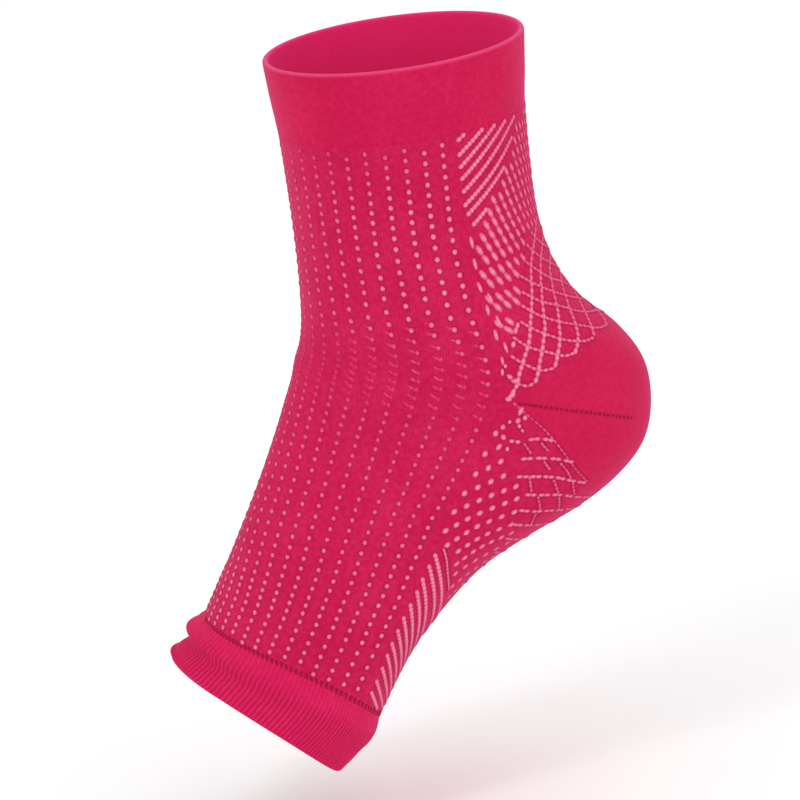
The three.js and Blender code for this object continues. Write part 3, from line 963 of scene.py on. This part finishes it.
def sole_yarn():
    yarn = Yarn()
    for row in SOLE_ARCS:
        arch_arc(yarn, row)
    for row in SOLE_LINKS:
        yarn.cord("arch link", curve_through(row))
    yarn.cord("pocket piping", curve_through(POCKET_PIPING))
    for *row, count in OVAL_ROWS:
        oval_row(yarn, row, count)
    return yarn


def forefoot_yarn():
    yarn = Yarn()
    for start, first, slope in FORE_CORDS:
        angle = np.linspace(first, 180, 300)
        place = start + slope * FORE_FLATTENING * (1 - np.exp(-(angle - first) / FORE_FLATTENING))
        kept = place < TOE_SEAM - 0.04
        yarn.cord("forefoot cord", (place[kept], angle[kept]))
    yarn.cord("forefoot thread", curve_through(FORE_THREAD))
    return yarn


# Materials

class Look:
    """A soft material and short names for the nodes that colour it."""

    def __init__(self, name, colour, roughness, sheen):
        self.material = bpy.data.materials.new(name)
        self.material.use_nodes = True
        self.nodes = self.material.node_tree.nodes
        self.links = self.material.node_tree.links
        self.shader = self.nodes["Principled BSDF"]
        self.shader.inputs["Base Color"].default_value = (*colour, 1)
        self.shader.inputs["Roughness"].default_value = roughness
        self.shader.inputs["Specular IOR Level"].default_value = SPECULAR
        self.shader.inputs["Sheen Weight"].default_value = sheen
        self.shader.inputs["Sheen Roughness"].default_value = SHEEN_ROUGHNESS
        self.shader.inputs["Sheen Tint"].default_value = (*SHEEN_TINT, 1)

    def math(self, operation, *inputs):
        node = self.nodes.new("ShaderNodeMath")
        node.operation = operation
        for k, item in enumerate(inputs):
            if isinstance(item, (int, float)):
                node.inputs[k].default_value = item
            else:
                self.links.new(item, node.inputs[k])
        return node.outputs[0]

    def mixed(self, factor, first, second):
        node = self.nodes.new("ShaderNodeMix")
        node.data_type = "RGBA"
        self.links.new(factor, node.inputs["Factor"])
        for socket, item in ((node.inputs[6], first), (node.inputs[7], second)):
            if isinstance(item, tuple):
                socket.default_value = (*item, 1)
            else:
                self.links.new(item, socket)
        return node.outputs[2]

    def reading(self, key):
        """A value that the piece's points carry."""
        node = self.nodes.new("ShaderNodeAttribute")
        node.attribute_name = key
        return node.outputs["Fac"]

    def noise(self, scale):
        place = self.nodes.new("ShaderNodeTexCoord")
        node = self.nodes.new("ShaderNodeTexNoise")
        node.inputs["Scale"].default_value = scale
        node.inputs["Detail"].default_value = 2
        self.links.new(place.outputs["Object"], node.inputs["Vector"])
        return node.outputs["Fac"]

    def clamped(self, value):
        node = self.nodes.new("ShaderNodeClamp")
        self.links.new(value, node.inputs["Value"])
        return node.outputs[0]

    def bumped(self, height, strength):
        node = self.nodes.new("ShaderNodeBump")
        node.inputs["Strength"].default_value = strength
        node.inputs["Distance"].default_value = BUMP_DISTANCE
        self.links.new(height, node.inputs["Height"])
        self.links.new(node.outputs["Normal"], self.shader.inputs["Normal"])

    def coloured(self, colour):
        self.links.new(colour, self.shader.inputs["Base Color"])


def stitch_height(look):
    """Jersey: V-shaped loops in wales and courses, from 0 between them to 1 on their crests."""
    across = look.math("DIVIDE", look.reading("across"), WALE)
    down = look.math("DIVIDE", look.reading("down"), COURSE)
    beside = look.math("ABSOLUTE", look.math("SUBTRACT", look.math("FRACT", across), 0.5))
    groove = look.math("POWER", look.math("MULTIPLY", beside, 2.0), 3.0)
    turn = look.math("MULTIPLY", look.math("ADD", down, beside), math.pi)
    loop = look.math("ABSOLUTE", look.math("SINE", turn))
    loop = look.math("ADD", LOOP_FLOOR, look.math("MULTIPLY", loop, 1 - LOOP_FLOOR))
    return look.math("MULTIPLY", look.math("SUBTRACT", 1.0, groove), loop)


def knit_material(name, shades, bump=0.35):
    """Fine jersey of mottled yarn, darker where it is pressed in."""
    colour, deep, light = shades
    look = Look(name, colour, KNIT_ROUGHNESS, KNIT_SHEEN)
    stitch = stitch_height(look)
    fine = look.math("MULTIPLY", look.noise(FINE_MOTTLE_SCALE), FINE_MOTTLE_SHARE)
    broad = look.math("MULTIPLY", look.noise(BROAD_MOTTLE_SCALE), 1 - FINE_MOTTLE_SHARE)
    mottle = look.math("SUBTRACT", look.math("ADD", fine, broad), MOTTLE_FLOOR)
    mottle = look.math("MULTIPLY", mottle, MOTTLE_CONTRAST)
    # Painted shade in the grooves between the loops and painted highlight on their crests
    loop_shading = look.math("MULTIPLY", look.math("SUBTRACT", stitch, STITCH_MIDDLE), STITCH_SHADING_CONTRAST)
    body = look.mixed(look.clamped(look.math("ADD", mottle, loop_shading)), deep, light)
    # Painted shade: darker where the knit is pressed into pits and grooves
    pit_shade = look.math("MULTIPLY", look.reading("hollow"), PIT_SHADE_SHARE)
    body = look.mixed(pit_shade, body, tuple(PIT_SHADE_DARKNESS * c for c in deep))
    # Painted light on the inner faces
    body = look.mixed(look.reading("inside"), body, LIT_INSIDE_COLOUR)
    # Painted highlight along the cuff's rim
    look.coloured(look.mixed(look.reading("rim"), body, RIM_HIGHLIGHT_COLOUR))
    look.bumped(stitch, bump)
    return look.material


def yarn_material(name, shades):
    """Yarn that turns from dull to bright with a piece's pale value, which carries each bead's painted
    highlight too.
    """
    dull, bright = shades
    look = Look(name, bright, YARN_ROUGHNESS, YARN_SHEEN)
    spread = look.math("SUBTRACT", look.noise(YARN_MOTTLE_SCALE), 0.5)
    spread = look.math("MULTIPLY", spread, YARN_CONTRAST)
    amount = look.clamped(look.math("ADD", look.reading("pale_and_highlight"), spread))
    look.coloured(look.mixed(amount, dull, bright))
    return look.material


CUFF_KNIT = knit_material("cuff_knit", CUFF_SHADES)
PANEL_KNIT = knit_material("panel_knit", PANEL_SHADES)
HEEL_KNIT = knit_material("heel_knit", HEEL_SHADES)
TOE_KNIT = knit_material("toe_knit", TOE_SHADES, bump=0.2)
LIGHT_YARN = yarn_material("light_yarn", LIGHT_YARN_SHADES)
# Painted shade for the holes of the gore and the toe seam
HOLE_SHADE_YARN = yarn_material("seam_thread", HOLE_SHADE_COLOURS)


def finish(made, material, slot, *nodes):
    made.data.materials.append(material)
    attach(made, "root")
    if nodes:
        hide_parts(*nodes)


# Pieces

dot_place, dot_turn, dot_tone = dot_marks()
gore_beads = Yarn()
gore_beads.cord("gore", curve_through(GORE_LINE))
seam_beads = Yarn()
for kind, below, first in TOE_SEAM_ROWS:
    turns = np.linspace(first, 178, 700)
    seam_beads.cord(kind, (np.full_like(turns, TOE_SEAM + below), turns))
pale_yarns = {
    "achilles_yarn": achilles_yarn(),
    "heel_net_yarn": net_yarn(),
    "sole_yarn": sole_yarn(),
    "forefoot_yarn": forefoot_yarn(),
}


def panel(name, zone, wall, material, slot, node):
    """Presses every pattern into a zone, so that it meets its neighbours, and closes it into a wall."""
    zone.press(dot_place, dot_turn, *DOT_PIT, dot_tone)
    for yarn in pale_yarns.values():
        zone.press(*yarn.marks(), *YARN_PIT)
    zone.press(*gore_beads.marks(), *GORE_PIT)
    finish(wall_of(name, zone, wall), material, slot, node)


# The rows of the zones meet at shared points along the front panel's edges
ROWS_PER_PLACE = 80 / 3
FRONT_ROWS = round((TOE_SEAM - CUFF_SEAM) * ROWS_PER_PLACE)
ACHILLES_ROWS = round((TIP_SECTION - TIP_HALF_HEIGHT - CUFF_SEAM) * ROWS_PER_PLACE)
SOLE_ROWS = round((TOE_SEAM - TIP_SECTION - TIP_HALF_HEIGHT) * ROWS_PER_PLACE)

front = Zone(front_where, front_find, FRONT_ROWS, PANEL_COLUMNS)
panel("leg_instep_knit", front, PANEL_WALL, PANEL_KNIT, "panel_knit", "leg_instep_panel")

BACK_ZONES = [
    # name, edges, rows, wall, material, slot, the solid that it replaces
    ("achilles_knit", (constant(CUFF_SEAM), pocket_top), ACHILLES_ROWS,
     PANEL_WALL, PANEL_KNIT, "panel_knit", "achilles_panel"),
    ("heel_cup_knit", (pocket_top, pocket_bottom), POCKET_ROWS,
     HEEL_WALL, HEEL_KNIT, "heel_knit", "heel_pocket"),
    ("sole_knit", (pocket_bottom, constant(TOE_SEAM)), SOLE_ROWS,
     PANEL_WALL, PANEL_KNIT, "panel_knit", "sole_panel"),
]
for zone_name, edges, rows, *rest in BACK_ZONES:
    panel(zone_name, Zone(back_where(*edges), back_find(*edges), rows, BACK_COLUMNS), *rest)

for yarn_name, yarn_beads in pale_yarns.items():
    finish(yarn_beads.made(yarn_name), LIGHT_YARN, "light_yarn")
# Dark beads painting the shade in the holes of the gore and the toe seam
finish(gore_beads.made("heel_gore_shaded_stitches"), HOLE_SHADE_YARN, "seam_thread")
finish(seam_beads.made("toe_seam_shaded_stitches"), HOLE_SHADE_YARN, "seam_thread")


def ring_path(seam, rim, wall, places_per_metre, rows):
    """Place and depth round a band: up its outside from the seam, over the rounded rim, down its inside."""
    lip = wall / 2
    start = rim + np.sign(seam - rim) * lip * places_per_metre
    out = np.linspace(seam, start, rows)
    turn = np.linspace(0, math.pi, LIP_STEPS + 1)[1:-1]
    over = start + np.sign(rim - seam) * np.sin(turn) * lip * places_per_metre
    depth_over = lip - lip * np.cos(turn)
    place = np.concatenate([out, over, out[::-1]])
    depth = np.concatenate([np.zeros(rows), depth_over, np.full(rows, wall)])
    return np.stack([place, depth], -1)


def cuff_relief(place, angle, depth):
    """A plain band with a painted highlight along its rim and a row of shallow pits with painted shade just
    above its seam.
    """
    # Painted highlight where the lip catches the light
    rim = 1 - ease(np.abs(place - RIM) + 0.04 * depth / CUFF_WALL, 0.02, 0.075)
    stitch = ease(np.abs(np.sin(angle * CUFF_STITCHES / 2)), 0.3, 0.9)
    row = 1 - ease(np.abs(place - CUFF_SEAM + 0.04), 0.0, 0.07)
    # Shallow pits just above the seam, with painted shade in them
    hollow = stitch * row * (depth < CUFF_WALL / 2)
    return -CUFF_STITCH_DEPTH * hollow, {"hollow": hollow * 0.3, "rim": rim * 0.35}


CUFF_PLACES_PER_METRE = CUFF_SEAM / CUFF_HEIGHT
cuff_path = ring_path(CUFF_SEAM, RIM, CUFF_WALL, CUFF_PLACES_PER_METRE, CUFF_ROWS)[::-1]
cuff = ring_of("top_cuff_knit", cuff_path, CUFF_COLUMNS, cuff_relief)
finish(cuff, CUFF_KNIT, "cuff_knit", "top_cuff")

BAND_PLACES_PER_METRE = (TOE_RIM - TOE_SEAM) / TOE_BAND_LENGTH


def toe_relief(place, angle, depth):
    """Ribs on the outside of the band, shallower beside its seam, with painted shade in the grooves between
    them.
    """
    down = (place - TOE_SEAM) / (TOE_RIM - TOE_SEAM)
    outside = 1 - np.clip(depth / TOE_WALL, 0, 1)
    rib = np.abs(np.sin(angle * TOE_RIBS / 2))
    strength = 0.45 + 0.55 * ease(down, 0.25, 0.5)
    relief = -TOE_RIB_DEPTH * (1 - rib) * strength * outside
    # The grooves' depth, which the material paints as shade
    return relief, {"hollow": (1 - rib) ** 1.1 * strength * outside}


toe_path = ring_path(TOE_SEAM, TOE_RIM, TOE_WALL, BAND_PLACES_PER_METRE, TOE_ROWS)
toe = ring_of("toe_band_knit", toe_path, TOE_RIBS * POINTS_PER_RIB, toe_relief)
finish(toe, TOE_KNIT, "toe_knit", "toe_band")

# The front's dots, smaller where they are faint and toward the toes, wider in front
down_heading = heading_of(dot_place, dot_turn, 1, 0)
dot_size = np.array([DOT_LENGTH, DOT_WIDTH, DOT_HEIGHT]) * (0.78 + 0.2 * dot_tone[:, None])
dot_size *= 1 - 0.1 * ease(dot_place, 9, 13)[:, None]
dot_size[:, 1] *= 1.25 - 0.25 * ease(np.abs(dot_turn), 0.4, 1.2)
dot_beads = beads("front_dots", dot_place, dot_turn, down_heading, dot_size, dot_tone)
finish(dot_beads, LIGHT_YARN, "light_yarn")

# Slanting flecks beside the dots over the ankle, where the dots themselves fade
fleck_tone = FLECK_TONE * ease(dot_place, 5.6, 6.6) * (1 - ease(dot_place, 9.0, 9.9))
fleck_tone = fleck_tone * ease(np.abs(dot_turn), 0.5, 1.2)
flecked = fleck_tone > 0.03
side = np.sign(dot_turn[flecked])
around_heading = unit(heading_of(dot_place[flecked], dot_turn[flecked], 0, 1)) * side[:, None]
fleck_heading = unit(down_heading[flecked]) * math.cos(math.radians(FLECK_LEAN))
fleck_heading += around_heading * math.sin(math.radians(FLECK_LEAN))
fleck_place = dot_place[flecked] - FLECK_RISE
fleck_turn = dot_turn[flecked] - side * math.radians(FLECK_TURN)
fleck_size = (FLECK_LENGTH, FLECK_WIDTH, FLECK_HEIGHT)
flecks = beads("ankle_flecks", fleck_place, fleck_turn, fleck_heading, fleck_size, fleck_tone[flecked])
finish(flecks, LIGHT_YARN, "light_yarn")

# Stage: floor, lights and camera
SCALE = 0.32 * MM
CAMERA_DISTANCE = 2.2
CAMERA_RISE = math.radians(16)
CAMERA_ROLL = math.radians(8)
IMAGE_SIZE = 800
ORIGIN_PIXEL = (430, 345)
SENSOR = 36.0
FAR_LIMIT = 50
FLOOR_HALF_SIZE = 6.0
FLOOR_DROP = 16 * MM
# Lights: place, size and power
KEY_LIGHT = ((-0.8, -0.9, 1.5), 0.5, 5)
FILL_LIGHT = ((1.4, -1.2, 0.7), 1.2, 4)
WORLD_STRENGTH = 1.0


def add_camera():
    back = Vector((0, -math.cos(CAMERA_RISE), math.sin(CAMERA_RISE)))
    right = Vector((1, 0, 0))
    up = back.cross(right)
    right_turned = right * math.cos(CAMERA_ROLL) - up * math.sin(CAMERA_ROLL)
    up_turned = right * math.sin(CAMERA_ROLL) + up * math.cos(CAMERA_ROLL)
    data = bpy.data.cameras.new("camera")
    data.sensor_width = SENSOR
    data.lens = SENSOR * CAMERA_DISTANCE / (SCALE * IMAGE_SIZE)
    data.clip_end = FAR_LIMIT
    made = placed("camera", data)
    off_right = (ORIGIN_PIXEL[0] - IMAGE_SIZE / 2) * SCALE
    off_up = (IMAGE_SIZE / 2 - ORIGIN_PIXEL[1]) * SCALE
    spot = back * CAMERA_DISTANCE - right_turned * off_right - up_turned * off_up
    turn = Matrix((right_turned, up_turned, back)).transposed().to_4x4()
    made.matrix_world = Matrix.Translation(spot) @ turn
    bpy.context.scene.camera = made


def add_floor():
    height = cad_box[0][2] - FLOOR_DROP
    mesh = bpy.data.meshes.new("floor")
    corners = [(-1, -1), (1, -1), (1, 1), (-1, 1)]
    corners = [(x * FLOOR_HALF_SIZE, y * FLOOR_HALF_SIZE, height) for x, y in corners]
    mesh.from_pydata(corners, [], [(0, 1, 2, 3)])
    made = placed("floor", mesh)
    material = bpy.data.materials.new("floor_paper")
    material.use_nodes = True
    shader = material.node_tree.nodes["Principled BSDF"]
    shader.inputs["Base Color"].default_value = (*FLOOR_COLOUR, 1)
    shader.inputs["Roughness"].default_value = 0.9
    shader.inputs["Specular IOR Level"].default_value = 0.1
    mesh.materials.append(material)


def add_light(name, spot, size, power):
    data = bpy.data.lights.new(name, "AREA")
    data.size = size
    data.energy = power
    made = placed(name, data)
    made.location = spot
    made.rotation_euler = Vector(spot).to_track_quat("Z", "Y").to_euler()


def add_world():
    world = bpy.data.worlds.new("studio")
    world.use_nodes = True
    background = world.node_tree.nodes["Background"]
    background.inputs["Color"].default_value = (1, 1, 1, 1)
    background.inputs["Strength"].default_value = WORLD_STRENGTH
    bpy.context.scene.world = world


add_camera()
add_floor()
add_world()
add_light("key", *KEY_LIGHT)
add_light("fill", *FILL_LIGHT)
bpy.context.scene.view_settings.view_transform = "Standard"
